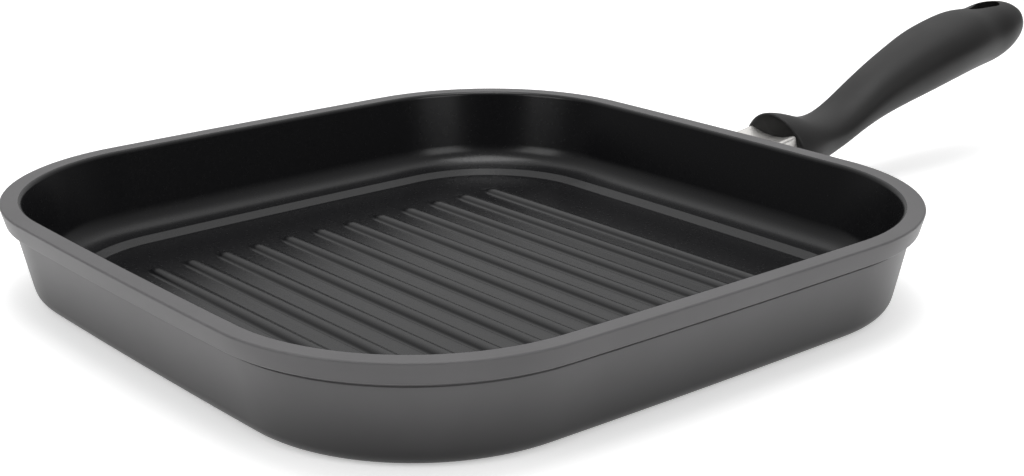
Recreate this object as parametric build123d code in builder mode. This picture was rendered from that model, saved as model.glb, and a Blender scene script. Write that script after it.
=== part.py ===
from build123d import *
from math import cos, radians, sin, tan
import os

os.makedirs("parts", exist_ok=True)

# A square grill pan: one aluminium casting with a ribbed floor, and a moulded stick handle that a
# long screw pulls against a polished bracket on the casting's lug. Millimetres, +Z up. The origin is
# the centre of the underside, and the handle points along +X.

# Values for every piece
overrun = 3.0                   # how far each cut runs past the material
slide_gap = 0.1                 # around a tongue or lug that slides into its pocket
turn_gap = 0.05                 # around a screw in its thread, and a bush in its hole

# Pan outline, seen from above
pan_side = 280.0                # across the rim at the middle of the sides
side_bow = 2.5                  # how far each side swells beyond its corners
corner_radius = 74.5
pan_height = 36.5

# Rim band and wall
band_height = 7.3
band_draft = 1.95               # how far the band's foot lies inside its top
band_step = 2.65                # how far the wall lies inside the band's foot
band_edge = 0.6                 # taken off the band's two outer edges
wall_draft_angle = 12.0
wall_thickness = 4.5
rim_inner_radius = 2.0
base_edge_radius = 6.5

# Inside of the pan
base_thickness = 3.2
ledge_rise = 2.6                # of the narrow ledge at the wall's foot, above the floor
ledge_width = 1.0
ledge_slope_width = 4.5         # from the ledge down to the floor
wall_foot_radius = 9.0

# Ribs on the floor
rib_count = 12
rib_pitch = 14.65
rib_length = 174.0
rib_height = 2.5
rib_width = 7.8
rib_nose_length = 6.5
rib_root = 0.6                  # how deep a rib is let into the floor

# Turned rings on the underside
ring_count = 4
ring_pitch = 24.0
first_ring_radius = 26.0
ring_width = 1.6
ring_depth = 0.4

# Handle axis, which is the tie screw's own
handle_tilt = 12.1              # degrees above level
lug_face_reach = 10.0           # from the rim's edge out to the lug's face
lug_face_height = 17.0          # of the axis at the lug's face, above the base
neck_length = 20.8              # from the lug's face to the grip's front face

# Lug on the casting
lug_width = 22.0
lug_height = 12.0
lug_corner_radius = 4.0
lug_depth = 24.0                # from its face back into the wall
lug_hole_depth = 13.0

# Bracket
bracket_width = 26.0
bracket_front_rise = 9.6        # of its top above the axis at the grip
bracket_front_drop = 6.4        # of its underside below the axis at the grip
bracket_rear_rise = 12.0
bracket_rear_drop = 9.2
bracket_wall_gap = 1.0          # between the bracket and the pan's wall
bracket_keel_radius = 5.5
bracket_lip_radius = 1.2
trough_width = 22.6
trough_depth = 3.0

# Tongue of the bracket, inside the grip
tongue_width = 15.0
tongue_height = 8.0
tongue_length = 15.0
tongue_corner_radius = 2.0
socket_end_gap = 0.5            # beyond the tongue's end

# Grip: the stations are shares of its length, the widths of its width, the others of its height
grip_length = 170.6
grip_width = 36.5
grip_height = 27.7
grip_mouth_radius = 1.6         # round the edge of its front face
station_shares = (0.0, 0.033, 0.103, 0.191, 0.261, 0.338, 0.431, 0.525, 0.613, 0.695, 0.766, 0.83)
width_shares = (1.005, 0.959, 0.822, 0.726, 0.704, 0.726, 0.803, 0.904, 0.985, 1.0, 0.94, 0.849)
rise_shares = (0.635, 0.556, 0.325, 0.195, 0.254, 0.39, 0.526, 0.621, 0.682, 0.69, 0.643, 0.574)
drop_shares = (0.495, 0.473, 0.451, 0.39, 0.338, 0.3, 0.288, 0.294, 0.297, 0.31, 0.343, 0.383)
waist_shares = (-0.17, -0.09, -0.036, -0.097, -0.042, 0.045, 0.119, 0.163, 0.193, 0.19, 0.15, 0.095)
tip_angles = (18, 34, 49, 62, 74, 84)   # of the sections along the tip's quarter oval

# Hang hole, a teardrop through the grip near its end
hang_centre_share = 0.886       # of its round end, along the grip
hang_radius = 5.2
hang_point_share = 0.81        # of its narrow end, along the grip
hang_point_radius = 1.0

# Tie screw and its washers
screw_radius = 2.5
thread_reach = 10.0             # of the screw into the bush
screw_bore_gap = 0.3            # around the shank in grip and bracket
screw_tip_chamfer = 0.8
head_radius = 4.25
head_height = 5.0
head_chamfer = 0.4
head_bore_gap = 0.5             # around the head
key_size = 4.0                  # across the flats of the head's hexagon
key_depth = 2.8
plain_washer_radius = 4.5
plain_washer_thickness = 1.0
spring_washer_radius = 4.3
spring_washer_thickness = 1.3
spring_washer_slot = 0.9
spring_slot_angle = 15.0        # off the radius
washer_bore_gap = 0.15          # around the shank in both washers
seat_share = 0.689              # of the washers' seat, along the grip

# Threaded bush in the lug
bush_radius = 4.0
bush_length = 12.0
bush_groove_count = 3
bush_groove_width = 1.0
bush_groove_depth = 0.4

# Worked out from the sizes above
wall_top = pan_height - band_height
floor_level = base_thickness
ledge_level = base_thickness + ledge_rise
draft_slope = tan(radians(wall_draft_angle))
wall_foot_reach = wall_foot_radius * tan(radians(90 - wall_draft_angle) / 2)

handle_direction = Vector(cos(radians(handle_tilt)), 0, sin(radians(handle_tilt)))
lug_centre = Vector(pan_side / 2 + lug_face_reach, 0, lug_face_height)
grip_front = lug_centre + handle_direction * neck_length
side_plane = Plane(origin=grip_front, x_dir=handle_direction, z_dir=(0, -1, 0))
hole_plane = Plane(origin=grip_front, x_dir=handle_direction, z_dir=side_plane.y_dir)

bush_hole_radius = bush_radius + turn_gap
screw_bore_radius = screw_radius + screw_bore_gap
head_bore_radius = head_radius + head_bore_gap
washer_bore_radius = screw_radius + washer_bore_gap
hang_centre = grip_length * hang_centre_share
hang_point = grip_length * hang_point_share
seat_distance = grip_length * seat_share
spring_seat = seat_distance + plain_washer_thickness
head_seat = spring_seat + spring_washer_thickness
screw_length = head_seat + neck_length + thread_reach


def outer_inset(level):
    """How far the wall's outside lies inside the rim's outline at a level."""
    return band_draft + band_step + (wall_top - level) * draft_slope


def inner_inset(level):
    """How far the wall's inside lies inside the rim's outline at a level."""
    return outer_inset(level) + wall_thickness / cos(radians(wall_draft_angle))


def band_inset(level):
    """How far the band's outside lies inside the rim's outline at a level."""
    return band_draft * (pan_height - level) / band_height


def pan_outline(inset):
    """The rim's outline from above, drawn inward by an even inset."""
    reach = pan_side / 2 - inset
    corner = reach - side_bow
    with BuildSketch() as outline:
        with BuildLine():
            side = ThreePointArc((corner, -corner), (reach, 0), (corner, corner))
            for quarter in (1, 2, 3):
                add(side.rotate(Axis.Z, 90 * quarter))
        make_face()
        fillet(outline.vertices(), corner_radius - inset)
    return outline.sketch


def handle_plane(distance):
    """The plane square to the handle's axis, at a distance beyond the grip's front face."""
    origin = grip_front + handle_direction * distance
    return Plane(origin=origin, x_dir=(0, 1, 0), z_dir=handle_direction)


def wall_distance(rise):
    """Where a line at a rise above the axis comes up to the pan's wall, less the bracket's gap."""
    wall_x = pan_side / 2 - outer_inset(0) + bracket_wall_gap
    along = handle_direction.X - handle_direction.Z * draft_slope
    across = handle_direction.X * draft_slope + handle_direction.Z
    return (wall_x - grip_front.X + grip_front.Z * draft_slope + rise * across) / along


# Inside of the pan, as the solid that is taken out of the casting
with BuildPart() as pan_inside:
    for level in (ledge_level, pan_height + overrun):
        with BuildSketch(Plane.XY.offset(level)):
            add(pan_outline(inner_inset(level)))
    loft(ruled=True)
    fillet(pan_inside.faces().sort_by(Axis.Z)[0].edges(), wall_foot_radius)
    ledge_inset = inner_inset(ledge_level) + wall_foot_reach + ledge_width
    with BuildSketch(Plane.XY.offset(floor_level)):
        add(pan_outline(ledge_inset + ledge_slope_width))
    with BuildSketch(Plane.XY.offset(ledge_level)):
        add(pan_outline(ledge_inset))
    loft(ruled=True)

# Half of one rib's section, a low dome
with BuildSketch() as rib_half:
    with BuildLine():
        crest_radius = ((rib_width / 2) ** 2 + rib_height ** 2) / (2 * rib_height)
        crest = RadiusArc((0, rib_height), (rib_width / 2, 0), crest_radius)
        Polyline(crest @ 1, (rib_width / 2, -rib_root), (0, -rib_root), crest @ 0)
    make_face()

with BuildPart() as rib_nose:
    with BuildSketch(Plane.XZ):
        add(rib_half.sketch)
    revolve(axis=Axis.Z, revolution_arc=180)
    scale(by=(1, 2 * rib_nose_length / rib_width, 1))

# Half of one rib's length, which the mirror makes whole
with BuildPart() as rib:
    rib_straight = rib_length / 2 - rib_nose_length
    with BuildSketch(Plane.XZ):
        add(rib_half.sketch)
        mirror(about=Plane.YZ)
    extrude(amount=-rib_straight)
    with Locations((0, rib_straight, 0)):
        add(rib_nose.part)
    mirror(about=Plane.XZ)

# Casting
with BuildPart() as pan_body:
    for level in (0, wall_top):
        with BuildSketch(Plane.XY.offset(level)):
            add(pan_outline(outer_inset(level)))
    loft(ruled=True)
    fillet(pan_body.faces().sort_by(Axis.Z)[0].edges(), base_edge_radius)
    # Rim band, its edges eased
    for level in (wall_top, wall_top + band_edge, pan_height - band_edge, pan_height):
        eased = band_edge if level in (wall_top, pan_height) else 0
        with BuildSketch(Plane.XY.offset(level)):
            add(pan_outline(band_inset(level) + eased))
    loft(ruled=True)
    # Lug for the handle
    with BuildSketch(handle_plane(-neck_length)):
        RectangleRounded(lug_width, lug_height, lug_corner_radius)
    extrude(amount=-lug_depth)
    # Inside and its ribs
    add(pan_inside.part, mode=Mode.SUBTRACT)
    fillet(pan_body.faces().sort_by(Axis.Z)[-1].inner_wires()[0].edges(), rim_inner_radius)
    with Locations((0, 0, floor_level)):
        with GridLocations(rib_pitch, 0, rib_count, 1):
            add(rib.part)
    # Turned rings
    with BuildSketch():
        for ring in range(ring_count):
            ring_radius = first_ring_radius + ring * ring_pitch
            Circle(ring_radius + ring_width)
            Circle(ring_radius, mode=Mode.SUBTRACT)
    extrude(amount=ring_depth, mode=Mode.SUBTRACT)
    # Hole for the threaded bush
    with BuildSketch(handle_plane(-neck_length)):
        Circle(bush_hole_radius)
    extrude(amount=-lug_hole_depth, mode=Mode.SUBTRACT)

# Threaded bush
with BuildPart() as lug_insert:
    with BuildSketch(handle_plane(-neck_length)):
        Circle(bush_radius)
        Circle(screw_radius + turn_gap, mode=Mode.SUBTRACT)
    extrude(amount=-bush_length)
    for groove in range(bush_groove_count):
        groove_start = bush_length * (groove + 1) / (bush_groove_count + 1)
        with BuildSketch(handle_plane(-neck_length - groove_start)):
            Circle(bush_radius + overrun)
            Circle(bush_radius - bush_groove_depth, mode=Mode.SUBTRACT)
        extrude(amount=bush_groove_width, mode=Mode.SUBTRACT)

# Bracket
with BuildPart() as handle_bracket:
    rear_top = Vector(wall_distance(bracket_rear_rise), bracket_rear_rise)
    rear_foot = Vector(wall_distance(-bracket_rear_drop), -bracket_rear_drop)
    front_top = Vector(0, bracket_front_rise)
    with BuildSketch(side_plane):
        Polygon(front_top, rear_top, rear_foot, (0, -bracket_front_drop), align=None)
    extrude(amount=bracket_width / 2, both=True)
    keel = handle_bracket.faces().sort_by(Axis.Z)[0]
    fillet(keel.edges() - keel.edges().filter_by(Axis.Y), bracket_keel_radius)
    # Trough along the top
    top_way = side_plane.from_local_coords(front_top) - side_plane.from_local_coords(rear_top)
    trough_origin = side_plane.from_local_coords(front_top) + top_way.normalized() * overrun
    trough_radius = ((trough_width / 2) ** 2 + trough_depth ** 2) / (2 * trough_depth)
    with BuildSketch(Plane(origin=trough_origin, x_dir=(0, 1, 0), z_dir=top_way)):
        with Locations((0, trough_radius - trough_depth)):
            Circle(trough_radius)
    extrude(amount=-top_way.length - 3 * overrun, mode=Mode.SUBTRACT)
    lips = handle_bracket.edges().filter_by(lambda edge: abs(edge.center().Y) > bracket_width / 2.01)
    fillet(lips.filter_by(Axis(origin=(0, 0, 0), direction=top_way)), bracket_lip_radius)
    # Pocket for the lug
    with BuildSketch(handle_plane(-neck_length)):
        pocket_width = lug_width + 2 * slide_gap
        pocket_height = lug_height + 2 * slide_gap
        RectangleRounded(pocket_width, pocket_height, lug_corner_radius + slide_gap)
    extrude(amount=-lug_depth, mode=Mode.SUBTRACT)
    # Tongue and the screw's bore
    with BuildSketch(handle_plane(0)):
        RectangleRounded(tongue_width, tongue_height, tongue_corner_radius)
    extrude(amount=tongue_length)
    with BuildSketch(handle_plane(-neck_length)):
        Circle(screw_bore_radius)
    extrude(amount=neck_length + tongue_length, mode=Mode.SUBTRACT)

# Grip: each section is half an oval above its waist and half another below it
with BuildPart() as handle_grip:
    sections = list(zip(station_shares, width_shares, rise_shares, drop_shares, waist_shares))
    last, last_wide, last_rise, last_drop = sections[-1][:4]
    middle = (last_rise - last_drop) / 2
    for angle in tip_angles:
        share = last + (1 - last) * sin(radians(angle))
        size = cos(radians(angle))
        tall = (last_rise + last_drop) / 2 * size
        sections.append((share, last_wide * size, middle + tall, tall - middle, middle))
    for share, wide, rise, drop, waist in sections:
        level = waist * grip_height
        half_width = wide * grip_width / 2
        with BuildSketch(handle_plane(share * grip_length)):
            with BuildLine():
                upper = rise * grip_height - level
                lower = drop * grip_height + level
                EllipticalCenterArc((0, level), half_width, upper, 0, arc_size=180)
                EllipticalCenterArc((0, level), half_width, lower, 180, arc_size=180)
            make_face()
    loft()
    fillet(handle_grip.faces().sort_by(Axis.X)[0].edges(), grip_mouth_radius)
    # Socket for the tongue
    with BuildSketch(handle_plane(0)):
        socket_width = tongue_width + 2 * slide_gap
        socket_height = tongue_height + 2 * slide_gap
        RectangleRounded(socket_width, socket_height, tongue_corner_radius + slide_gap)
    extrude(amount=tongue_length + socket_end_gap, mode=Mode.SUBTRACT)
    # Bores for the screw and its head
    with BuildSketch(handle_plane(0)):
        Circle(screw_bore_radius)
    extrude(amount=seat_distance, mode=Mode.SUBTRACT)
    with BuildSketch(handle_plane(seat_distance)):
        Circle(head_bore_radius)
    extrude(amount=grip_length, mode=Mode.SUBTRACT)
    # Hang hole
    with BuildSketch(hole_plane):
        with Locations((hang_centre, 0)):
            Circle(hang_radius)
        with Locations((hang_point, 0)):
            Circle(hang_point_radius)
        make_hull()
    extrude(amount=grip_height, both=True, mode=Mode.SUBTRACT)

# Tie screw
with BuildPart() as tie_screw:
    with BuildSketch(handle_plane(head_seat)):
        Circle(screw_radius)
    extrude(amount=-screw_length)
    chamfer(tie_screw.faces().sort_by(Axis.X)[0].edges(), screw_tip_chamfer)
    with BuildSketch(handle_plane(head_seat)):
        Circle(head_radius)
    extrude(amount=head_height)
    chamfer(tie_screw.faces().sort_by(Axis.X)[-1].edges(), head_chamfer)
    with BuildSketch(handle_plane(head_seat + head_height)):
        RegularPolygon(key_size / 2, 6, major_radius=False)
    extrude(amount=-key_depth, mode=Mode.SUBTRACT)

# Plain washer
with BuildPart() as plain_washer:
    with BuildSketch(handle_plane(seat_distance)):
        Circle(plain_washer_radius)
        Circle(washer_bore_radius, mode=Mode.SUBTRACT)
    extrude(amount=plain_washer_thickness)

# Spring washer, a ring with one slanted slot
with BuildPart() as spring_washer:
    with BuildSketch(handle_plane(spring_seat)):
        Circle(spring_washer_radius)
        Circle(washer_bore_radius, mode=Mode.SUBTRACT)
        with Locations((0, spring_washer_radius)):
            slot_length = 2 * spring_washer_radius
            Rectangle(spring_washer_slot, slot_length, spring_slot_angle, mode=Mode.SUBTRACT)
    extrude(amount=spring_washer_thickness)

pieces = {
    "pan_body": pan_body,
    "lug_insert": lug_insert,
    "handle_bracket": handle_bracket,
    "handle_grip": handle_grip,
    "tie_screw": tie_screw,
    "plain_washer": plain_washer,
    "spring_washer": spring_washer,
}
for name, piece in pieces.items():
    piece.part.label = name
    export_step(piece.part, f"parts/{name}.step")
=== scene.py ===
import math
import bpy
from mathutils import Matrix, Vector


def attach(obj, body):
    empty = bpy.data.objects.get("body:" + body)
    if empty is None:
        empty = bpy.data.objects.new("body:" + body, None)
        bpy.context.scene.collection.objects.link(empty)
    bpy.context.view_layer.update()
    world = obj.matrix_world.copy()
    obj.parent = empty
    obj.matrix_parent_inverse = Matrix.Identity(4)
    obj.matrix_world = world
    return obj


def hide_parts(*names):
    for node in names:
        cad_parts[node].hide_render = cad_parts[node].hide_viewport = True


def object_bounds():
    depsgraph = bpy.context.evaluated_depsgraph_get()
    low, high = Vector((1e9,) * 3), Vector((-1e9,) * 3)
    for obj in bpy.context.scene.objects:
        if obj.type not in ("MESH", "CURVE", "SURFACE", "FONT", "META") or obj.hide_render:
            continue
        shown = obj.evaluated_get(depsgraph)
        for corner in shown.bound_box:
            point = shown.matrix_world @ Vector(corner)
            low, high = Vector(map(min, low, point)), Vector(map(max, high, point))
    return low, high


bl_info = {
    "name": "Square grill pan",
    "version": (1, 0, 0),
    "blender": (4, 5, 0),
    "location": "3D View > Sidebar > Grill Pan",
    "description": "Dresses the packed grill pan with its finishes and sets up the studio",
    "category": "Object",
}

import bmesh
import bpy
import numpy as np
from bpy.props import FloatProperty, FloatVectorProperty, IntProperty, PointerProperty
from bpy.types import Operator, Panel, PropertyGroup
from mathutils import Matrix, Vector

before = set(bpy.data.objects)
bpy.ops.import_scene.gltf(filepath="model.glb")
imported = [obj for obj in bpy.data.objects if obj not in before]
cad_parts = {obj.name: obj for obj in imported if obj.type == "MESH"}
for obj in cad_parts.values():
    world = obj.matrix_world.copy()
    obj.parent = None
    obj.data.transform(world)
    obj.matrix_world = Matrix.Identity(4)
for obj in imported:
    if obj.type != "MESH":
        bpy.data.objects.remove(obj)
cad_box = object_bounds()

MM = 0.001


def length(name, description, millimetres):
    """A length property whose default is given in millimetres."""
    return FloatProperty(
        name=name, description=description, default=millimetres * MM, unit="LENGTH", precision=5
    )


def degrees(name, description, value):
    """An angle property whose default is given in degrees."""
    return FloatProperty(
        name=name, description=description, default=math.radians(value), subtype="ANGLE", precision=3
    )


def share(name, description, value):
    """A number property for a share of a size."""
    return FloatProperty(name=name, description=description, default=value, precision=4)


def finish_colour(name, description, hex_value):
    """A colour property whose default is an sRGB hex value."""
    return FloatVectorProperty(
        name=name, description=description, default=linear(hex_value)[:3], subtype="COLOR", size=3
    )


def linear(hex_value):
    """The linear colour of an sRGB hex value such as "6b6966"."""
    channels = [int(hex_value[place:place + 2], 16) / 255 for place in (0, 2, 4)]
    values = [c / 12.92 if c <= 0.04045 else ((c + 0.055) / 1.055) ** 2.4 for c in channels]
    return (*values, 1.0)


# Sizes and colours


class PanSizes(PropertyGroup):
    """The casting: its outline from above and its wall from base to rim"""

    side: length("Side", "Across the rim at the middle of the sides", 280.0)
    bow: length("Bow", "How far each side swells beyond its corners", 2.5)
    corner: length("Corner radius", "Radius of the rim's corners from above", 74.5)
    height: length("Height", "From the underside to the rim", 36.5)
    band_height: length("Band height", "Of the rim band", 7.3)
    band_draft: length("Band draft", "How far the band's foot lies inside its top", 1.95)
    band_step: length("Step", "How far the wall lies inside the band's foot", 2.65)
    band_foot_round: length("Band foot radius", "Rounding under the band", 0.9)
    groove: length("Groove", "Height of the groove in the wall under the band", 1.9)
    groove_depth: length("Groove depth", "Depth of that groove", 0.7)
    groove_floor: share("Groove floor", "How much of the groove's height is at full depth", 0.8)
    groove_edge_round: length("Groove edge radius", "Rounding of the groove's lower edge", 0.3)
    groove_round: length("Groove radius", "Rounding inside the groove", 0.2)
    band_top_round: length("Rim outer radius", "Rounding of the rim's outer edge", 0.7)
    rim_round: length("Rim inner radius", "Rounding of the rim's inner edge", 2.0)
    wall_draft: degrees("Wall draft", "Lean of the wall", 12)
    wall: length("Wall thickness", "Thickness of the wall", 4.5)
    base_round: length("Base edge radius", "Rounding between wall and underside", 6.5)
    base: length("Base thickness", "From the underside to the cooking floor", 3.2)
    ledge_rise: length("Ledge rise", "Of the ledge above the floor", 2.0)
    ledge: length("Ledge width", "From the wall's foot to the ledge's edge", 9.1)
    ledge_lean: degrees("Ledge lean", "Rise of the ledge towards the wall", 9)
    ledge_slope: length("Ledge slope", "Width of the slope from the ledge to the floor", 3.7)
    ledge_edge_round: length("Ledge edge radius", "Rounding of the ledge's edge", 0.4)
    ledge_foot_round: length("Ledge foot radius", "Rounding from the slope to the floor", 1.2)
    floor_strip: length("Floor strip", "Width of the floor's outermost faces", 8.0)
    wall_foot_round: length("Wall foot radius", "Rounding inside, from wall to ledge", 10.5)
    coating_drop: length("Coating drop", "Where the coating starts, below the rim's top", 0.25)
    side_steps: IntProperty(name="Side steps", description="Faces along a side", default=16)
    corner_steps: IntProperty(name="Corner steps", description="Faces round a corner", default=28)
    ring_count: IntProperty(name="Rings", description="Turned rings in the underside", default=4)
    first_ring: length("First ring", "Radius of the smallest ring", 26.0)
    ring_pitch: length("Ring pitch", "From one ring to the next", 24.0)
    ring_width: length("Ring width", "Width of a ring", 1.6)
    ring_depth: length("Ring depth", "Depth of a ring", 0.4)


class RibSizes(PropertyGroup):
    """The ribs on the cooking floor"""

    count: IntProperty(name="Ribs", description="How many ribs", default=12)
    pitch: length("Rib pitch", "From one rib to the next", 14.65)
    length: length("Rib length", "From nose to nose", 174.0)
    height: length("Rib height", "Above the floor", 1.8)
    flank: degrees("Flank", "Slope where the crest's arc turns into the foot's", 47)
    foot_round: length("Foot radius", "Rounding where a rib meets the floor", 1.8)
    nose: length("Nose length", "Length of a rib's rounded end", 10.0)
    root: length("Root depth", "How deep a rib is let into the floor", 0.6)


class HandleSizes(PropertyGroup):
    """The handle's axis, the bracket and the grip"""

    tilt: degrees("Tilt", "Slope of the handle's axis", 12.1)
    lug_reach: length("Lug reach", "From the rim's edge to the lug's face", 10.0)
    lug_level: length("Lug level", "Height of the axis at the lug's face", 17.0)
    lug_width: length("Lug width", "Width of the casting's lug", 22.0)
    lug_height: length("Lug height", "Height of the casting's lug", 12.0)
    lug_round: length("Lug radius", "Rounding of the lug's edges", 4.0)
    neck: length("Neck", "From the lug's face to the grip", 20.8)
    bracket_width: length("Bracket width", "Across the bracket", 26.0)
    front_rise: length("Front rise", "Top of the bracket above the axis, at the grip", 9.6)
    front_drop: length("Front drop", "Underside of the bracket below the axis, at the grip", 6.4)
    rear_rise: length("Rear rise", "Top of the bracket above the axis, at the wall", 12.0)
    rear_drop: length("Rear drop", "Underside of the bracket below the axis, at the wall", 9.2)
    wall_gap: length("Wall gap", "Between the bracket and the pan's wall", 1.0)
    keel_round: length("Keel radius", "Rounding of the bracket's lower edges", 5.5)
    lip_round: length("Lip radius", "Rounding of the bracket's upper edges", 1.2)
    trough: length("Trough width", "Width of the hollow along the bracket's top", 22.6)
    trough_depth: length("Trough depth", "Depth of that hollow", 2.3)
    grip_length: length("Grip length", "Along the axis", 170.6)
    grip_width: length("Grip width", "At the widest", 36.5)
    grip_height: length("Grip height", "At the palm", 27.7)
    mouth_round: length("Mouth radius", "Rounding of the edge of the grip's front face", 1.6)
    hole_centre: share("Hole centre", "Hang hole's round end, along the grip", 0.886)
    hole_round: length("Hole radius", "Of the hang hole's round end", 5.2)
    hole_point: share("Hole point", "Hang hole's narrow end, along the grip", 0.81)
    hole_point_round: length("Hole point radius", "Of the hang hole's narrow end", 1.0)
    screw_bore: length("Screw bore", "Radius of the bore along the grip", 2.8)
    head_bore: length("Head bore", "Radius of the wider bore from the screw's head to the tip", 4.75)
    head_seat: share("Head seat", "Where the wider bore starts, along the grip", 0.689)
    cut_round: length("Cut radius", "Softening of the edges of the grip's hole and bores", 0.7)


class Finishes(PropertyGroup):
    """Colours of the finishes"""

    casting: finish_colour("Casting", "Stove-enamelled outside of the pan", "605f60")
    coating: finish_colour("Coating", "Non-stick coating inside", "0f0f11")
    base: finish_colour("Base", "Turned bare aluminium underneath", "b4b3b1")
    bracket: finish_colour("Bracket", "Buffed aluminium casting", "d9d7d4")
    grip: finish_colour("Grip", "Phenolic moulding", "121111")
    # The grip face's darker colour is painted shade for the front face, which looks at the pan; only its
    # smoothness is real
    shaded_grip_face: finish_colour("Grip face", "The moulding where its tool is polished", "0a0a0a")
    steel: finish_colour("Steel", "Zinc-plated screw, bush and washers", "b9babd")
    floor: finish_colour("Floor", "Studio floor", "fbfbfb")


class StageSizes(PropertyGroup):
    """Camera and lamps"""

    azimuth: degrees("Azimuth", "Camera, round the object", -39.943)
    elevation: degrees("Elevation", "Camera, above level", 17.44)
    roll: degrees("Roll", "Camera, about its own axis", -0.269)
    place: FloatVectorProperty(
        name="Place", description="Camera", default=(-0.3722, -0.4785, 0.2141), subtype="TRANSLATION"
    )
    focal_share: share("Focal share", "Camera's focal length over its sensor's width", 1.7032)
    shift: FloatVectorProperty(
        name="Shift", description="Camera, in picture widths", default=(-0.0067, -0.0132), size=2
    )
    floor_side: length("Floor", "Side of the studio floor", 6000.0)
    floor_gap: length("Floor gap", "How far the floor lies under the pan", 0.05)
    glow: share("Glow", "Of the floor where the camera, metal or glass sees it", 0.44)


# Shared helpers

# Steps round a rounded corner, and the half angle past which a corner counts as straight
ROUND_STEPS = 8
NEARLY_STRAIGHT = math.radians(89.9)
# Points nearer than this are one, and on the finely rounded casting nearer than that
MERGE = 0.01 * MM
FINE_MERGE = 0.001 * MM
# Edges that turn more than this stay sharp; the casting's turn less
CREASE = math.radians(35)
CASTING_CREASE = math.radians(28)


def set_up(group):
    """The scene's own copy of a group of sizes."""
    return getattr(bpy.context.scene, group)


def rounded(corners):
    """A path through corners, each given as (x, y, radius), with its corners rounded."""
    path = [np.array(corners[0][:2])]
    for before, here, after in zip(corners, corners[1:], corners[2:]):
        place = np.array(here[:2])
        radius = here[2]
        back = np.array(before[:2]) - place
        ahead = np.array(after[:2]) - place
        back /= np.linalg.norm(back)
        ahead /= np.linalg.norm(ahead)
        half = math.acos(max(-1.0, min(1.0, float(back @ ahead)))) / 2
        if radius == 0 or half > NEARLY_STRAIGHT:
            path.append(place)
            continue
        reach = radius / math.tan(half)
        middle = back + ahead
        centre = place + middle / np.linalg.norm(middle) * radius / math.sin(half)
        first = place + back * reach - centre
        last = place + ahead * reach - centre
        sweep = math.pi - 2 * half
        for step in range(ROUND_STEPS + 1):
            part = step / ROUND_STEPS
            blend = math.sin((1 - part) * sweep) * first + math.sin(part * sweep) * last
            path.append(centre + blend / math.sin(sweep))
    path.append(np.array(corners[-1][:2]))
    return path


def through(stations, values, places):
    """Values at places along a natural cubic curve through the values at the stations."""
    stations, values = np.array(stations, float), np.array(values, float)
    gaps = np.diff(stations)
    slopes = np.diff(values) / gaps
    count = len(stations)
    matrix = np.eye(count)
    right = np.zeros(count)
    for row in range(1, count - 1):
        matrix[row, row - 1:row + 2] = gaps[row - 1], 2 * (gaps[row - 1] + gaps[row]), gaps[row]
        right[row] = 6 * (slopes[row] - slopes[row - 1])
    bends = np.linalg.solve(matrix, right)
    index = np.clip(np.searchsorted(stations, places, side="right") - 1, 0, count - 2)
    gap = gaps[index]
    start = (stations[index + 1] - places) / gap
    end = (places - stations[index]) / gap
    curve = (start ** 3 - start) * bends[index] + (end ** 3 - end) * bends[index + 1]
    return start * values[index] + end * values[index + 1] + curve * gap ** 2 / 6


def mesh_from_rings(name, rings):
    """A closed mesh whose rings of points are joined one to the next, with flat ends."""
    count = len(rings[0])
    points = [tuple(point) for ring in rings for point in ring]
    faces = []
    for row in range(len(rings) - 1):
        for place in range(count):
            ahead = (place + 1) % count
            low, high = row * count, (row + 1) * count
            faces.append((low + place, low + ahead, high + ahead, high + place))
    faces.append(tuple(reversed(range(count))))
    faces.append(tuple(range((len(rings) - 1) * count, len(rings) * count)))
    mesh = bpy.data.meshes.new(name)
    mesh.from_pydata(points, [], faces)
    return mesh


def tidy_mesh(mesh):
    """Merges doubled points, turns the faces outwards and shades them smooth."""
    work = bmesh.new()
    work.from_mesh(mesh)
    bmesh.ops.remove_doubles(work, verts=work.verts, dist=MERGE)
    bmesh.ops.dissolve_degenerate(work, edges=work.edges, dist=MERGE)
    bmesh.ops.recalc_face_normals(work, faces=work.faces)
    work.to_mesh(mesh)
    work.free()
    mesh.shade_smooth()


def new_piece(name, mesh, *materials):
    """An object for a mesh, in the scene, with its materials."""
    piece = bpy.data.objects.new(name, mesh)
    bpy.context.scene.collection.objects.link(piece)
    for material in materials:
        mesh.materials.append(material)
    return piece


def apply_modifiers(piece):
    """Turns what a piece's modifiers make into its plain mesh."""
    graph = bpy.context.evaluated_depsgraph_get()
    graph.update()
    mesh = bpy.data.meshes.new_from_object(piece.evaluated_get(graph))
    piece.modifiers.clear()
    old = piece.data
    piece.data = mesh
    bpy.data.meshes.remove(old)


def cut_out(piece, name, mesh):
    """Cuts a closed mesh out of a piece."""
    tidy_mesh(mesh)
    tool = new_piece(name, mesh)
    cut = piece.modifiers.new("Cut", "BOOLEAN")
    cut.operation = "DIFFERENCE"
    cut.solver = "EXACT"
    cut.object = tool
    apply_modifiers(piece)
    bpy.data.objects.remove(tool)


def finish_piece(piece, node=None):
    """Ties a piece to the casting's body and hides the CAD part that it stands for."""
    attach(piece, "root")
    if node:
        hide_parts(node)


# Where things are along the handle


def handle_frame():
    """The grip's front centre, the handle's direction and the way up across it."""
    sizes = set_up("handle_sizes")
    along = Vector((math.cos(sizes.tilt), 0, math.sin(sizes.tilt)))
    upward = Vector((-math.sin(sizes.tilt), 0, math.cos(sizes.tilt)))
    lug = Vector((set_up("pan_sizes").side / 2 + sizes.lug_reach, 0, sizes.lug_level))
    return lug + along * sizes.neck, along, upward


def on_handle(distance, across, rise):
    """The place at a distance along the handle's axis, and across and above it."""
    front, along, upward = handle_frame()
    return front + along * distance + upward * rise + Vector((0, across, 0))


def wall_inset(level):
    """How far the wall's outside lies inside the rim's outline at a level."""
    sizes = set_up("pan_sizes")
    top = sizes.height - sizes.band_height
    return sizes.band_draft + sizes.band_step + (top - level) * math.tan(sizes.wall_draft)


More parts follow.
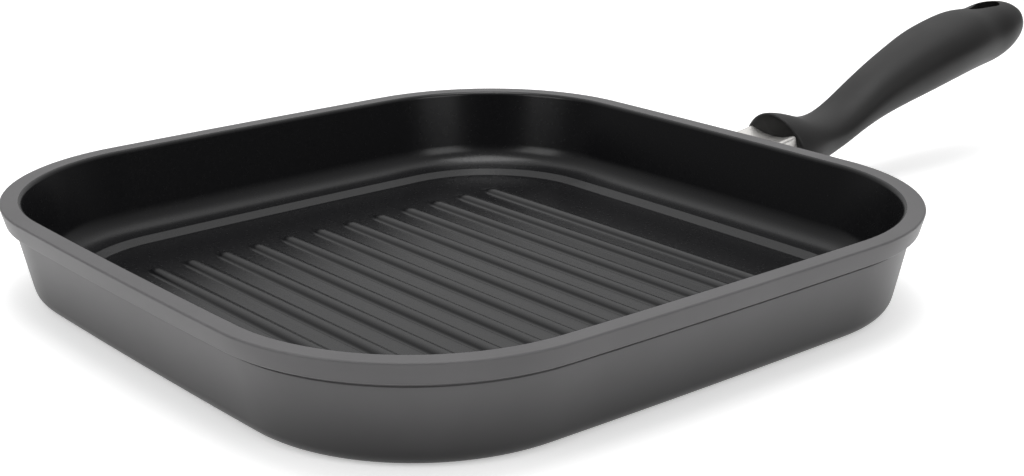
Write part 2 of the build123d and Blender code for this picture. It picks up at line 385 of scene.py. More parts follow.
def inside_inset(level):
    """How far the wall's inside lies inside the rim's outline at a level."""
    sizes = set_up("pan_sizes")
    return wall_inset(level) + sizes.wall / math.cos(sizes.wall_draft)


# Materials


def add_node(tree, kind, links=(), **settings):
    """Adds a node with its settings and links it: links are (output, its input's name or number)."""
    node = tree.nodes.new(kind)
    for name, value in settings.items():
        socket = name.replace("_", " ")
        if socket in node.inputs:
            node.inputs[socket].default_value = value
        else:
            setattr(node, name, value)
    for output, name in links:
        tree.links.new(output, node.inputs[name])
    return node


def new_material(name, **shader_values):
    """A material with a Principled shader whose sockets get these values."""
    material = bpy.data.materials.new(name)
    material.use_nodes = True
    shader = material.node_tree.nodes["Principled BSDF"]
    for socket, value in shader_values.items():
        shader.inputs[socket.replace("_", " ")].default_value = value
    return material, material.node_tree, shader


def enamelled_casting():
    """Gravity-cast aluminium under flatted stove enamel: grey, satin, with a fine orange peel and
    painted shade towards the base.
    """
    colour = set_up("finishes").casting
    # Flatting halves what the enamel mirrors
    material, tree, shader = new_material(
        "stove_enamelled_cast_aluminium", Roughness=0.38, Specular_IOR_Level=0.25
    )
    place = add_node(tree, "ShaderNodeTexCoord").outputs["Object"]
    # Cloudy drift of the enamel's thickness: darker where it is thin, lighter where it is thick
    cloud_size = 30 * MM
    cloud = add_node(tree, "ShaderNodeTexNoise", [(place, "Vector")], Scale=1 / cloud_size, Detail=3)
    tone = add_node(tree, "ShaderNodeValToRGB", [(cloud.outputs["Fac"], "Fac")])
    for element, position, factor in zip(tone.color_ramp.elements, (0.3, 0.7), (0.94, 1.05)):
        element.position = position
        element.color = [channel * factor for channel in colour] + [1]
    # Painted shade: the enamel's colour darkens towards the base, standing in for the shade low on the
    # wall
    darkest_level, unshaded_level = 2 * MM, 26 * MM
    level = add_node(tree, "ShaderNodeSeparateXYZ", [(place, "Vector")])
    painted_shade = add_node(
        tree, "ShaderNodeMapRange", [(level.outputs["Z"], "Value")],
        From_Min=darkest_level, From_Max=unshaded_level, To_Min=0.25, To_Max=1.0,
    )
    shaded_tone = add_node(
        tree, "ShaderNodeVectorMath", [(tone.outputs["Color"], 0), (painted_shade.outputs["Result"], "Scale")],
        operation="SCALE",
    )
    tree.links.new(shaded_tone.outputs["Vector"], shader.inputs["Base Color"])
    # Orange peel
    peel_size = 0.8 * MM
    peel = add_node(tree, "ShaderNodeTexNoise", [(place, "Vector")], Scale=1 / peel_size)
    bump = add_node(
        tree, "ShaderNodeBump", [(peel.outputs["Fac"], "Height")], Strength=0.08, Distance=0.1 * MM
    )
    tree.links.new(bump.outputs["Normal"], shader.inputs["Normal"])
    return material


def nonstick_coating():
    """Sprayed and baked fluoropolymer: near black, smooth, with a soft gloss at low angles."""
    colour = (*set_up("finishes").coating, 1)
    material, tree, shader = new_material("sprayed_nonstick_coating", IOR=1.42, Base_Color=colour)
    place = add_node(tree, "ShaderNodeTexCoord").outputs["Object"]
    # Spray grain in the gloss
    grain_size = 1.5 * MM
    grain = add_node(tree, "ShaderNodeTexNoise", [(place, "Vector")], Scale=1 / grain_size, Detail=4)
    gloss = add_node(
        tree, "ShaderNodeMapRange", [(grain.outputs["Fac"], "Value")],
        From_Min=0.3, From_Max=0.7, To_Min=0.22, To_Max=0.28,
    )
    tree.links.new(gloss.outputs["Result"], shader.inputs["Roughness"])
    bump = add_node(
        tree, "ShaderNodeBump", [(grain.outputs["Fac"], "Height")], Strength=0.05, Distance=0.1 * MM
    )
    tree.links.new(bump.outputs["Normal"], shader.inputs["Normal"])
    return material


def turned_base():
    """Bare aluminium turned flat on a lathe: silver, with fine rings that streak the light."""
    colour = (*set_up("finishes").base, 1)
    material, tree, shader = new_material(
        "turned_bare_aluminium", Roughness=0.35, Metallic=1.0, Base_Color=colour
    )
    place = add_node(tree, "ShaderNodeTexCoord").outputs["Object"]
    # The lathe's feed marks, drawn coarse to show; a real tool leaves them about 0.2 mm apart.
    # At scale 1 the node's rings are a twentieth of a full turn apart
    feed = 0.8 * MM
    marks = add_node(
        tree, "ShaderNodeTexWave", [(place, "Vector")],
        wave_type="RINGS", rings_direction="Z", Scale=math.tau / 20 / feed,
    )
    bump = add_node(
        tree, "ShaderNodeBump", [(marks.outputs["Fac"], "Height")], Strength=0.15, Distance=0.05 * MM
    )
    tree.links.new(bump.outputs["Normal"], shader.inputs["Normal"])
    return material


def polished_casting():
    """Aluminium casting, tumbled and buffed to a satin: bright, with soft reflections."""
    colour = (*set_up("finishes").bracket, 1)
    material, tree, shader = new_material("buffed_cast_aluminium", Metallic=1.0, Base_Color=colour)
    place = add_node(tree, "ShaderNodeTexCoord").outputs["Object"]
    # Buffing haze, drawn out along the handle
    haze_size = 3 * MM
    spread = add_node(tree, "ShaderNodeMapping", [(place, "Vector")], Scale=(0.3, 1, 1))
    haze = add_node(
        tree, "ShaderNodeTexNoise", [(spread.outputs["Vector"], "Vector")], Scale=1 / haze_size, Detail=5
    )
    gloss = add_node(
        tree, "ShaderNodeMapRange", [(haze.outputs["Fac"], "Value")], To_Min=0.4, To_Max=0.56
    )
    tree.links.new(gloss.outputs["Result"], shader.inputs["Roughness"])
    return material


def phenolic_moulding():
    """Compression-moulded phenolic: charcoal, satin, with the tool's faint blasted texture."""
    colour = (*set_up("finishes").grip, 1)
    material, tree, shader = new_material("compression_moulded_phenolic", IOR=1.45, Base_Color=colour)
    place = add_node(tree, "ShaderNodeTexCoord").outputs["Object"]
    # Blasted texture, drawn coarse to show; the real grains are about 0.1 mm across
    blast_size = 0.6 * MM
    blast = add_node(tree, "ShaderNodeTexNoise", [(place, "Vector")], Scale=1 / blast_size, Detail=3)
    bump = add_node(
        tree, "ShaderNodeBump", [(blast.outputs["Fac"], "Height")], Strength=0.12, Distance=0.1 * MM
    )
    tree.links.new(bump.outputs["Normal"], shader.inputs["Normal"])
    # Hand wear in soft patches
    wear_size = 25 * MM
    wear = add_node(tree, "ShaderNodeTexNoise", [(place, "Vector")], Scale=1 / wear_size)
    gloss = add_node(
        tree, "ShaderNodeMapRange", [(wear.outputs["Fac"], "Value")], To_Min=0.42, To_Max=0.56
    )
    tree.links.new(gloss.outputs["Result"], shader.inputs["Roughness"])
    return material


def glossy_shaded_phenolic():
    """The same moulding where its tool is polished, on the grip's front face: smoother, and blacker as
    painted shade, since that face looks at the pan.
    """
    colour = (*set_up("finishes").shaded_grip_face, 1)
    return new_material("polished_phenolic_painted_shade", Roughness=0.35, IOR=1.4, Base_Color=colour)[0]


def zinc_plated_steel():
    """Turned steel under bright zinc: grey with a blue cast and fine tool marks."""
    colour = (*set_up("finishes").steel, 1)
    material, tree, shader = new_material("zinc_plated_steel", Metallic=1.0, Base_Color=colour)
    place = add_node(tree, "ShaderNodeTexCoord").outputs["Object"]
    # Tool marks in the gloss
    mark_size = 0.7 * MM
    marks = add_node(tree, "ShaderNodeTexNoise", [(place, "Vector")], Scale=1 / mark_size)
    gloss = add_node(
        tree, "ShaderNodeMapRange", [(marks.outputs["Fac"], "Value")], To_Min=0.22, To_Max=0.4
    )
    tree.links.new(gloss.outputs["Result"], shader.inputs["Roughness"])
    return material


# Casting

# Its material slots
ENAMEL, COATING, BARE = 0, 1, 2
LUG_CORNER_STEPS = 6


def rim_outline():
    """Points round the rim's outline and the outward direction at each."""
    sizes = set_up("pan_sizes")
    reach = sizes.side / 2
    chord = reach - sizes.bow
    side_radius = (chord ** 2 + sizes.bow ** 2) / (2 * sizes.bow)
    side_centre = reach - side_radius
    # The corner's centre lies on the diagonal, its circle inside and touching both sides' circles
    half_term = -side_centre / 2
    left_over = (side_radius - sizes.corner) ** 2 - side_centre ** 2
    corner_centre = -half_term + math.sqrt(half_term ** 2 + left_over / 2)
    turn = math.atan2(corner_centre, corner_centre - side_centre)
    arcs = (
        (side_centre, 0, side_radius, -turn, turn, sizes.side_steps),
        (corner_centre, corner_centre, sizes.corner, turn, math.pi / 2 - turn, sizes.corner_steps),
    )
    points, outward = [], []
    for quarter in range(4):
        spin = np.array(Matrix.Rotation(quarter * math.pi / 2, 2))
        for x, y, radius, start, end, steps in arcs:
            for step in range(steps):
                angle = start + (end - start) * step / steps
                way = np.array((math.cos(angle), math.sin(angle)))
                points.append(spin @ (np.array((x, y)) + radius * way))
                outward.append(spin @ way)
    return np.array(points), np.array(outward)


def casting_profile():
    """The casting's section from its underside over the rim to its floor, as (inset, level).

    Also how many of its places are outside the coating.
    """
    sizes = set_up("pan_sizes")
    top = sizes.height
    band_foot = top - sizes.band_height
    groove_back = wall_inset(band_foot) + sizes.groove_depth
    ledge_level = sizes.base + sizes.ledge_rise
    ledge_edge = inside_inset(ledge_level) + sizes.ledge
    slope_foot = ledge_edge + sizes.ledge_slope
    # Where the leaning ledge's line meets the wall's line
    rise = math.tan(sizes.ledge_lean)
    run = sizes.ledge / (1 - rise * math.tan(sizes.wall_draft))
    profile = rounded([
        (wall_inset(0) + 2 * sizes.base_round, 0, 0),
        (wall_inset(0), 0, sizes.base_round),
        (wall_inset(band_foot - sizes.groove), band_foot - sizes.groove, sizes.groove_edge_round),
        (groove_back, band_foot - sizes.groove_floor * sizes.groove, sizes.groove_round),
        (groove_back, band_foot, sizes.groove_round),
        (sizes.band_draft, band_foot, sizes.band_foot_round),
        (0, top, sizes.band_top_round),
        (inside_inset(top), top, sizes.rim_round),
        (ledge_edge - run, ledge_level + run * rise, sizes.wall_foot_round),
        (ledge_edge, ledge_level, sizes.ledge_edge_round),
        (slope_foot, sizes.base, sizes.ledge_foot_round),
        (slope_foot + sizes.floor_strip, sizes.base, 0),
    ])
    bare = [place for place, (inset, level) in enumerate(profile) if level > top - sizes.coating_drop]
    return profile, bare[-1] + 1


def casting_mesh():
    """The pan's shell as one closed mesh, enamelled outside, coated inside, with a bare base."""
    sizes = set_up("pan_sizes")
    points, outward = rim_outline()
    profile, outer_count = casting_profile()
    angles = np.arctan2(points[:, 1], points[:, 0])
    circle = np.stack((np.cos(angles), np.sin(angles)), axis=1)
    rings, kinds = [], []
    # The turned rings' flanks are a quarter as wide as the rings are deep
    flank = sizes.ring_depth / 4
    for ring in range(sizes.ring_count):
        inner = sizes.first_ring + ring * sizes.ring_pitch
        outer = inner + sizes.ring_width
        for radius, level in (
            (inner - flank, 0), (inner, sizes.ring_depth), (outer, sizes.ring_depth), (outer + flank, 0)
        ):
            rings.append(np.column_stack((circle * radius, np.full(len(circle), level))))
            kinds.append(BARE)
    for place, (inset, level) in enumerate(profile):
        flat = points - outward * inset
        rings.append(np.column_stack((flat, np.full(len(flat), level))))
        kinds.append(ENAMEL if place < outer_count - 1 else COATING)
    mesh = mesh_from_rings("pan_casting", rings)
    around = len(points)
    for face in mesh.polygons[:around * (len(rings) - 1)]:
        face.material_index = kinds[face.index // around]
    # The two faces left close the base's middle and the cooking floor's
    mesh.polygons[-2].material_index = BARE
    mesh.polygons[-1].material_index = COATING
    return mesh


def lug_mesh():
    """The lug that carries the handle, from inside the wall to its face."""
    sizes = set_up("handle_sizes")
    box = rounded_box(sizes.lug_width / 2, sizes.lug_height / 2, sizes.lug_round)
    # Its inner end lies in the wall, half a wall deep
    sunk = sizes.wall_gap + set_up("pan_sizes").wall / 2
    inner = [on_handle(-wall_distance(z) - sunk, y, z) for y, z in box]
    return mesh_from_rings("lug", [inner, [on_handle(-sizes.neck, y, z) for y, z in box]])


def rounded_box(half_width, half_height, radius):
    """Points round a box with rounded corners."""
    path = []
    for quarter, (side, rise) in enumerate(((1, 1), (-1, 1), (-1, -1), (1, -1))):
        for step in range(LUG_CORNER_STEPS + 1):
            angle = (quarter + step / LUG_CORNER_STEPS) * math.pi / 2
            path.append((
                side * (half_width - radius) + radius * math.cos(angle),
                rise * (half_height - radius) + radius * math.sin(angle),
            ))
    return path


class GRILLPAN_OT_casting(Operator):
    """Makes the pan's casting, with its lug, enamel outside, coating inside and bare base"""

    bl_idname = "grill_pan.casting"
    bl_label = "Casting"

    def execute(self, context):
        mesh = casting_mesh()
        work = bmesh.new()
        work.from_mesh(mesh)
        work.from_mesh(lug_mesh())
        bmesh.ops.remove_doubles(work, verts=work.verts, dist=FINE_MERGE)
        bmesh.ops.recalc_face_normals(work, faces=work.faces)
        work.to_mesh(mesh)
        work.free()
        mesh.shade_smooth()
        mesh.set_sharp_from_angle(angle=CASTING_CREASE)
        piece = new_piece("pan_casting", mesh, enamelled_casting(), nonstick_coating(), turned_base())
        finish_piece(piece, "pan_body")
        return {"FINISHED"}


# Ribs

# Steps over half a rib's crest, down its foot and round its nose
CREST_STEPS, FOOT_STEPS, NOSE_STEPS = 12, 5, 16


def rib_mesh():
    """One rib, with its rounded noses, on the cooking floor at the pan's middle."""
    sizes = set_up("rib_sizes")
    floor = set_up("pan_sizes").base
    # The crest's arc and the foot's together rise by the rib's height
    both_rounds = sizes.height / (1 - math.cos(sizes.flank))
    crest_round = both_rounds - sizes.foot_round
    half = both_rounds * math.sin(sizes.flank)
    section = []
    for step in range(CREST_STEPS + 1):
        angle = sizes.flank * step / CREST_STEPS
        fall = crest_round * (1 - math.cos(angle))
        section.append((crest_round * math.sin(angle), sizes.height - fall))
    for step in range(1, FOOT_STEPS + 1):
        angle = sizes.flank * (1 - step / FOOT_STEPS)
        rise = sizes.foot_round * (1 - math.cos(angle))
        section.append((half - sizes.foot_round * math.sin(angle), rise))
    section.append((half, -sizes.root))
    stretch = sizes.nose / half
    straight = sizes.length / 2 - sizes.nose
    rings = []
    for out, rise in section:
        ring = []
        for end, start in ((1, 0.0), (-1, math.pi)):
            for step in range(NOSE_STEPS + 1):
                angle = start + math.pi * step / NOSE_STEPS
                along = end * straight + out * math.sin(angle) * stretch
                ring.append((out * math.cos(angle), along, floor + rise))
        rings.append(ring)
    mesh = mesh_from_rings("pan_ribs", rings)
    tidy_mesh(mesh)
    return mesh


def rib_row_tree(material):
    """Geometry nodes that set copies of a rib side by side."""
    tree = bpy.data.node_groups.new("Rib row", "GeometryNodeTree")
    tree.interface.new_socket("Geometry", in_out="INPUT", socket_type="NodeSocketGeometry")
    tree.interface.new_socket("Count", in_out="INPUT", socket_type="NodeSocketInt")
    tree.interface.new_socket("Pitch", in_out="INPUT", socket_type="NodeSocketFloat")
    tree.interface.new_socket("Geometry", in_out="OUTPUT", socket_type="NodeSocketGeometry")
    given = add_node(tree, "NodeGroupInput").outputs
    # The first rib stands half the row's width to one side: (count - 1) x pitch x -0.5
    less = add_node(tree, "ShaderNodeMath", [(given["Count"], 0)], operation="SUBTRACT")
    less.inputs[1].default_value = 1
    factors = [(less.outputs["Value"], 0), (given["Pitch"], 1)]
    width = add_node(tree, "ShaderNodeMath", factors, operation="MULTIPLY")
    start = add_node(tree, "ShaderNodeMath", [(width.outputs["Value"], 0)], operation="MULTIPLY")
    start.inputs[1].default_value = -0.5
    first = add_node(tree, "ShaderNodeCombineXYZ", [(start.outputs["Value"], "X")])
    step = add_node(tree, "ShaderNodeCombineXYZ", [(given["Pitch"], "X")])
    row = add_node(tree, "GeometryNodeMeshLine", [
        (given["Count"], "Count"), (first.outputs["Vector"], "Start Location"),
        (step.outputs["Vector"], "Offset"),
    ])
    copies = add_node(tree, "GeometryNodeInstanceOnPoints", [
        (row.outputs["Mesh"], "Points"), (given["Geometry"], "Instance")
    ])
    real = add_node(tree, "GeometryNodeRealizeInstances", [(copies.outputs["Instances"], "Geometry")])
    coated = add_node(
        tree, "GeometryNodeSetMaterial", [(real.outputs["Geometry"], "Geometry")], Material=material
    )
    add_node(tree, "NodeGroupOutput", [(coated.outputs["Geometry"], "Geometry")])
    return tree


def set_input(modifier, name, value):
    """Sets a node tree's named input on its modifier."""
    for item in modifier.node_group.interface.items_tree:
        if item.name == name and item.in_out == "INPUT":
            modifier[item.identifier] = value


class GRILLPAN_OT_ribs(Operator):
    """Sets the row of ribs on the cooking floor"""

    bl_idname = "grill_pan.ribs"
    bl_label = "Ribs"

    def execute(self, context):
        sizes = set_up("rib_sizes")
        piece = new_piece("pan_ribs", rib_mesh())
        modifier = piece.modifiers.new("Row", "NODES")
        modifier.node_group = rib_row_tree(bpy.data.materials["sprayed_nonstick_coating"])
        set_input(modifier, "Count", sizes.count)
        set_input(modifier, "Pitch", sizes.pitch)
        apply_modifiers(piece)
        finish_piece(piece)
        return {"FINISHED"}


# Bracket

# Steps over half its hollow, and along it
HOLLOW_STEPS, BRACKET_STEPS = 12, 40


def bracket_limits(distance):
    """The bracket's top above and underside below the axis, at a distance behind the grip."""
    sizes = set_up("handle_sizes")
    top_end = wall_distance(sizes.rear_rise)
    foot_end = wall_distance(-sizes.rear_drop)
    rise = np.interp(distance, [0, top_end], [sizes.front_rise, sizes.rear_rise])
    drop = np.interp(distance, [0, foot_end], [sizes.front_drop, sizes.rear_drop])
    return float(rise), float(drop)


def wall_distance(rise):
    """How far behind the grip a line at a rise above the axis comes up to the pan's wall."""
    sizes = set_up("handle_sizes")
    slope = math.tan(set_up("pan_sizes").wall_draft)
    front = handle_frame()[0]
    wall = set_up("pan_sizes").side / 2 - wall_inset(0) + sizes.wall_gap
    along = math.cos(sizes.tilt) - math.sin(sizes.tilt) * slope
    across = math.cos(sizes.tilt) * slope + math.sin(sizes.tilt)
    return -(wall - front.x + front.z * slope + rise * across) / along


def bracket_section(distance):
    """The bracket's outline at a distance behind the grip, from the middle of its underside."""
    sizes = set_up("handle_sizes")
    rise, drop = bracket_limits(distance)
    half = sizes.bracket_width / 2
    chord = sizes.trough / 2
    radius = (chord ** 2 + sizes.trough_depth ** 2) / (2 * sizes.trough_depth)
    reach = math.asin(chord / radius)
    side = rounded([
        (0, -drop, 0), (half, -drop, sizes.keel_round), (half, rise, sizes.lip_round), (chord, rise, 0)
    ])
    hollow = []
    for step in range(1, HOLLOW_STEPS + 1):
        angle = reach * (1 - step / HOLLOW_STEPS)
        lift = radius * (1 - math.cos(angle))
        hollow.append((radius * math.sin(angle), rise - sizes.trough_depth + lift))
    half_path = [tuple(point) for point in side] + hollow
    return half_path + [(-y, z) for y, z in reversed(half_path[1:-1])]


def bracket_mesh():
    """The bracket from the pan's wall to the grip's front, its top hollowed along its length."""
    sizes = set_up("handle_sizes")
    rear = wall_distance(-sizes.rear_drop)
    rings = []
    for step in range(BRACKET_STEPS + 1):
        distance = rear * (1 - step / BRACKET_STEPS)
        ring = []
        for across, rise in bracket_section(distance):
            ring.append(on_handle(-min(distance, wall_distance(rise)), across, rise))
        rings.append(ring)
    return mesh_from_rings("handle_bracket_polished", rings)


class GRILLPAN_OT_bracket(Operator):
    """Makes the buffed bracket between the pan and the grip"""

    bl_idname = "grill_pan.bracket"
    bl_label = "Bracket"

    def execute(self, context):
        mesh = bracket_mesh()
        tidy_mesh(mesh)
        piece = new_piece("handle_bracket_polished", mesh, polished_casting())
        piece.data.set_sharp_from_angle(angle=CREASE)
        finish_piece(piece, "handle_bracket")
        return {"FINISHED"}


# Grip

# Stations along the grip: share of its length, of its width, then of its height for its top, its
# underside and its widest level, all against the axis
GRIP_STATION_SHARES = (
    (0.0, 1.005, 0.635, 0.495, -0.17),
    (0.033, 0.959, 0.556, 0.473, -0.09),
    (0.103, 0.822, 0.325, 0.451, -0.036),
    (0.191, 0.726, 0.195, 0.39, -0.097),
    (0.261, 0.704, 0.254, 0.338, -0.042),
    (0.338, 0.726, 0.39, 0.3, 0.045),
    (0.431, 0.803, 0.526, 0.288, 0.119),
    (0.525, 0.904, 0.621, 0.294, 0.163),
    (0.613, 0.985, 0.682, 0.297, 0.193),
    (0.695, 1.0, 0.69, 0.31, 0.19),
    (0.766, 0.94, 0.663, 0.343, 0.15),
    (0.83, 0.849, 0.572, 0.383, 0.095),
)
# Where the tip's oval is met, in degrees round it from the last station
TIP_ANGLES = (18, 34, 49, 62, 74, 84)
# Rings round the mouth's edge, along the body and over the tip, and points round each ring
MOUTH_RINGS, BODY_RINGS, TIP_RINGS, RING_POINTS = 9, 110, 26, 96
# Steps round half the hang hole's round end and round its narrow end, and round a bore
HOLE_STEPS, POINT_STEPS, BORE_STEPS = 16, 8, 40
# How far cuts run past what they cut: into the next bore, and beyond the tip as a share of the grip
CUT_OVERLAP = 1.0 * MM
PAST_TIP_SHARE = 1.2
# Cut edges are softened in this many steps where they turn more than this
CUT_ROUND_STEPS = 3
CUT_EDGE = math.radians(40)
# The material slot of the grip's front face, and which faces get it: those that look straight at
# the pan and lie no further than this behind the grip's front
FRONT_SLOT = 1
STRAIGHT_BACK = -0.99
FRONT_DEPTH = 0.2 * MM


def grip_mesh():
    """The grip's outside, without its holes: half ovals that meet at the widest level."""
    sizes = set_up("handle_sizes")
    stations, widths, rises, drops, waists = (np.array(column) for column in zip(*GRIP_STATION_SHARES))
    last = stations[-1]
    turn = np.radians(TIP_ANGLES)
    shrink = np.cos(turn)
    middle = (rises[-1] - drops[-1]) / 2
    stations = np.append(stations, last + (1 - last) * np.sin(turn))
    widths = np.append(widths, widths[-1] * shrink)
    rises = np.append(rises, middle + (rises[-1] - middle) * shrink)
    drops = np.append(drops, (drops[-1] + middle) * shrink - middle)
    waists = np.append(waists, middle + (waists[-1] - middle) * shrink)
    mouth = sizes.mouth_round / sizes.grip_length
    mouth_turn = np.linspace(0, math.pi / 2, MOUTH_RINGS)
    edge = mouth * (1 - np.cos(mouth_turn))
    body = np.linspace(mouth, last, BODY_RINGS)[1:]
    tip = last + (1 - last) * np.sin(np.linspace(0, turn[-1], TIP_RINGS)[1:])
    shares = np.concatenate((edge, body, tip))
    inset = np.zeros(len(shares))
    inset[:len(edge)] = sizes.mouth_round * (1 - np.sin(mouth_turn))
    width = through(stations, widths, shares) * sizes.grip_width / 2 - inset
    top = through(stations, rises, shares) * sizes.grip_height - inset
    foot = inset - through(stations, drops, shares) * sizes.grip_height
    waist = through(stations, waists, shares) * sizes.grip_height
    rings = []
    for place, share_along in enumerate(shares):
        ring = []
        for step in range(RING_POINTS):
            angle = math.tau * step / RING_POINTS
            upper = step <= RING_POINTS / 2
            tall = top[place] - waist[place] if upper else waist[place] - foot[place]
            ring.append(on_handle(
                share_along * sizes.grip_length, width[place] * math.cos(angle),
                waist[place] + tall * math.sin(angle),
            ))
        rings.append(ring)
    return mesh_from_rings("handle_grip_moulded", rings)


def hang_hole_mesh():
    """The teardrop that is cut through the grip near its tip."""
    sizes = set_up("handle_sizes")
    centre = sizes.hole_centre * sizes.grip_length
    point = sizes.hole_point * sizes.grip_length
    lean = math.acos((sizes.hole_round - sizes.hole_point_round) / (centre - point))
    outline = []
    for step in range(2 * HOLE_STEPS + 1):
        angle = (math.pi - lean) * (step / HOLE_STEPS - 1)
        outline.append((centre + sizes.hole_round * math.cos(angle), sizes.hole_round * math.sin(angle)))
    for step in range(POINT_STEPS + 1):
        angle = math.pi - lean + 2 * lean * step / POINT_STEPS
        outline.append((
            point + sizes.hole_point_round * math.cos(angle), sizes.hole_point_round * math.sin(angle)
        ))
    rings = []
    for rise in (-sizes.grip_height, sizes.grip_height):
        rings.append([on_handle(distance, across, rise) for distance, across in outline])
    return mesh_from_rings("hang_hole", rings)


def bore_mesh(radius, start, end):
    """A round bar along the handle's axis, for cutting a bore."""
    rings = []
    for distance in (start, end):
        ring = []
        for step in range(BORE_STEPS):
            angle = math.tau * step / BORE_STEPS
            ring.append(on_handle(distance, radius * math.cos(angle), radius * math.sin(angle)))
        rings.append(ring)
    return mesh_from_rings("bore", rings)


class GRILLPAN_OT_grip(Operator):
    """Makes the moulded grip with its hang hole and the bores for its screw"""

    bl_idname = "grill_pan.grip"
    bl_label = "Grip"

    def execute(self, context):
        sizes = set_up("handle_sizes")
        mesh = grip_mesh()
        tidy_mesh(mesh)
        piece = new_piece("handle_grip_moulded", mesh, phenolic_moulding(), glossy_shaded_phenolic())
        cut_out(piece, "hang_hole", hang_hole_mesh())
        seat = sizes.head_seat * sizes.grip_length
        past_tip = PAST_TIP_SHARE * sizes.grip_length
        cut_out(piece, "screw_bore", bore_mesh(sizes.screw_bore, -sizes.neck, seat + CUT_OVERLAP))
        cut_out(piece, "head_bore", bore_mesh(sizes.head_bore, seat, past_tip))
        soft = piece.modifiers.new("Soft edges", "BEVEL")
        soft.width = sizes.cut_round
        soft.segments = CUT_ROUND_STEPS
        soft.limit_method = "ANGLE"
        soft.angle_limit = CUT_EDGE
        apply_modifiers(piece)
        front, along = handle_frame()[:2]
        for face in piece.data.polygons:
            depth = (face.center - front).dot(along)
            if face.normal.dot(along) < STRAIGHT_BACK and depth < FRONT_DEPTH:
                face.material_index = FRONT_SLOT
        piece.data.shade_smooth()
        piece.data.set_sharp_from_angle(angle=CREASE)
        finish_piece(piece, "handle_grip")
        return {"FINISHED"}


# Screw, bush and washers


class GRILLPAN_OT_fasteners(Operator):
    """Gives the screw, the bush and the washers their plating"""

    bl_idname = "grill_pan.fasteners"
    bl_label = "Fasteners"

    def execute(self, context):
        steel = zinc_plated_steel()
        for node in ("tie_screw", "lug_insert", "plain_washer", "spring_washer"):
            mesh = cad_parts[node].data
            if not mesh.materials:
                mesh.materials.append(steel)
            for place in range(len(mesh.materials)):
                mesh.materials[place] = steel
        return {"FINISHED"}


# Studio

# Lamps as name, place, what they are aimed at, side and power, in metres and watts
LAMPS = (
    ("overhead", (0.05, 0.05, 1.6), (0.05, 0.05, 0), 0.8, 7),
    ("left", (-1.35, 0.0, 0.9), (0, 0, 0), 0.8, 5),
    ("right", (0.0, -1.35, 0.9), (0, 0, 0), 0.8, 5),
)
# The sky is brightest towards this, and has each level where a direction's dot product with it
# comes to the number before the level
SKY_WAY = (0.3, 0.4, 1.0)
SKY_LEVELS = ((0, 0.06), (0.42, 0.35), (0.78, 0.57), (0.95, 0.9), (1, 1.2))
# The camera's sensor width, in millimetres as the camera has it
SENSOR_WIDTH = 36


def area_lamp(name, place, target, side, power):
    """A soft square lamp, aimed at a target."""
    data = bpy.data.lights.new(name, "AREA")
    data.size = side
    data.energy = power
    lamp = bpy.data.objects.new(name, data)
    bpy.context.scene.collection.objects.link(lamp)
    lamp.location = place
    lamp.rotation_euler = (Vector(target) - Vector(place)).to_track_quat("-Z", "Y").to_euler()


def studio_floor(stage):
    """The pale floor that the pan rests on."""
    half = stage.floor_side / 2
    level = cad_box[0][2] - stage.floor_gap
    mesh = bpy.data.meshes.new("floor")
    corners = [(-half, -half, level), (half, -half, level), (half, half, level), (-half, half, level)]
    mesh.from_pydata(corners, [], [(0, 1, 2, 3)])
    colour = (*set_up("finishes").floor, 1)
    paint, tree, shader = new_material(
        "studio_floor", Roughness=0.9, Specular_IOR_Level=0, Base_Color=colour, Emission_Color=colour
    )
    # A little glow where the camera, metal or glass sees it keeps it white around a soft shadow
    path = add_node(tree, "ShaderNodeLightPath").outputs
    seen = path["Is Camera Ray"]
    for ray in ("Is Glossy Ray", "Is Transmission Ray"):
        either = add_node(tree, "ShaderNodeMath", [(seen, 0), (path[ray], 1)], operation="MAXIMUM")
        seen = either.outputs["Value"]
    glow = add_node(tree, "ShaderNodeMath", [(seen, 0)], operation="MULTIPLY")
    glow.inputs[1].default_value = stage.glow
    tree.links.new(glow.outputs["Value"], shader.inputs["Emission Strength"])
    floor = new_piece("floor", mesh, paint)


def studio_sky():
    """The world: dark low in front, bright above and behind, as under a sweep of white cloth."""
    world = bpy.data.worlds.new("studio")
    bpy.context.scene.world = world
    world.use_nodes = True
    tree = world.node_tree
    way = add_node(tree, "ShaderNodeTexCoord").outputs["Generated"]
    lift = add_node(tree, "ShaderNodeVectorMath", [(way, 0)], operation="DOT_PRODUCT")
    lift.inputs[1].default_value = SKY_WAY
    sweep = add_node(tree, "ShaderNodeValToRGB", [(lift.outputs["Value"], "Fac")])
    ramp = sweep.color_ramp
    for element, (place, level) in zip(ramp.elements, (SKY_LEVELS[0], SKY_LEVELS[-1])):
        element.color = (level, level, level, 1)
    for place, level in SKY_LEVELS[1:-1]:
        ramp.elements.new(place).color = (level, level, level, 1)
    tree.links.new(sweep.outputs["Color"], tree.nodes["Background"].inputs["Color"])


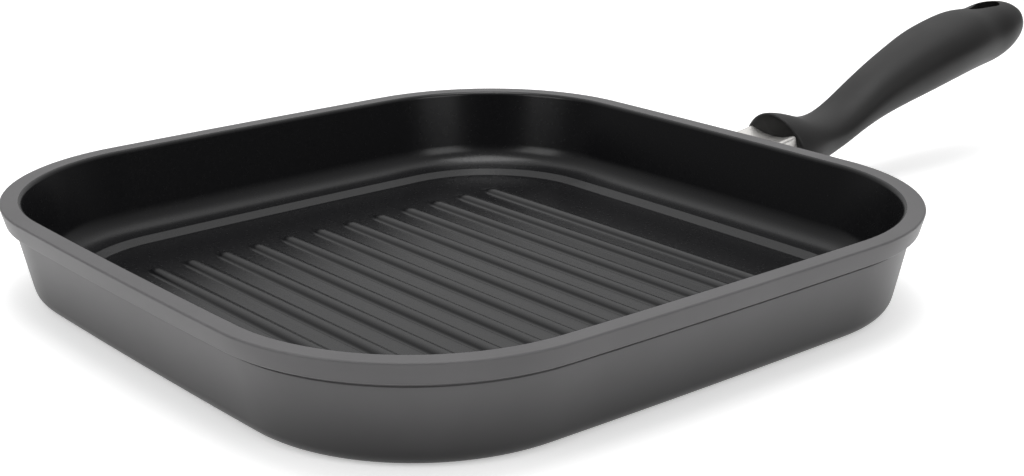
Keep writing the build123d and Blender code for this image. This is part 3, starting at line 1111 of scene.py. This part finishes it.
def studio_camera(stage):
    """The camera at the photo's angle."""
    data = bpy.data.cameras.new("camera")
    data.sensor_fit = "HORIZONTAL"
    data.sensor_width = SENSOR_WIDTH
    data.lens = SENSOR_WIDTH * stage.focal_share
    data.shift_x, data.shift_y = stage.shift
    camera = bpy.data.objects.new("camera", data)
    bpy.context.scene.collection.objects.link(camera)
    turn, lift, roll = stage.azimuth, stage.elevation, stage.roll
    right = Vector((math.cos(turn), math.sin(turn), 0))
    back = Vector((math.sin(turn) * math.cos(lift), -math.cos(turn) * math.cos(lift), math.sin(lift)))
    up = back.cross(right)
    rolled = right * math.cos(roll) + up * math.sin(roll)
    upright = up * math.cos(roll) - right * math.sin(roll)
    camera.matrix_world = Matrix.Translation(stage.place) @ Matrix(
        (rolled, upright, back)
    ).transposed().to_4x4()
    bpy.context.scene.camera = camera


class GRILLPAN_OT_stage(Operator):
    """Sets up the floor, the lamps, the world and the camera"""

    bl_idname = "grill_pan.stage"
    bl_label = "Studio"

    def execute(self, context):
        stage = set_up("stage_sizes")
        context.scene.view_settings.view_transform = "Standard"
        studio_floor(stage)
        studio_sky()
        for lamp in LAMPS:
            area_lamp(*lamp)
        studio_camera(stage)
        return {"FINISHED"}


class GRILLPAN_PT_panel(Panel):
    """Lists the grill pan's operators"""

    bl_label = "Grill Pan"
    bl_space_type = "VIEW_3D"
    bl_region_type = "UI"
    bl_category = "Grill Pan"

    def draw(self, context):
        for operator in OPERATORS:
            self.layout.operator(operator.bl_idname)


GROUPS = {
    "pan_sizes": PanSizes,
    "rib_sizes": RibSizes,
    "handle_sizes": HandleSizes,
    "finishes": Finishes,
    "stage_sizes": StageSizes,
}
OPERATORS = (
    GRILLPAN_OT_casting,
    GRILLPAN_OT_ribs,
    GRILLPAN_OT_bracket,
    GRILLPAN_OT_grip,
    GRILLPAN_OT_fasteners,
    GRILLPAN_OT_stage,
)


def register():
    """Registers the classes and adds the sizes to the scene."""
    for kind in (*GROUPS.values(), *OPERATORS, GRILLPAN_PT_panel):
        bpy.utils.register_class(kind)
    for name, group in GROUPS.items():
        setattr(bpy.types.Scene, name, PointerProperty(type=group))


def unregister():
    """Takes out what register added."""
    for name in GROUPS:
        delattr(bpy.types.Scene, name)
    for kind in (GRILLPAN_PT_panel, *reversed(OPERATORS), *reversed(GROUPS.values())):
        bpy.utils.unregister_class(kind)


def main():
    """Builds the dressed pan and its studio."""
    register()
    bpy.ops.grill_pan.casting()
    bpy.ops.grill_pan.ribs()
    bpy.ops.grill_pan.bracket()
    bpy.ops.grill_pan.grip()
    bpy.ops.grill_pan.fasteners()
    bpy.ops.grill_pan.stage()


if __name__ == "__main__":
    main()
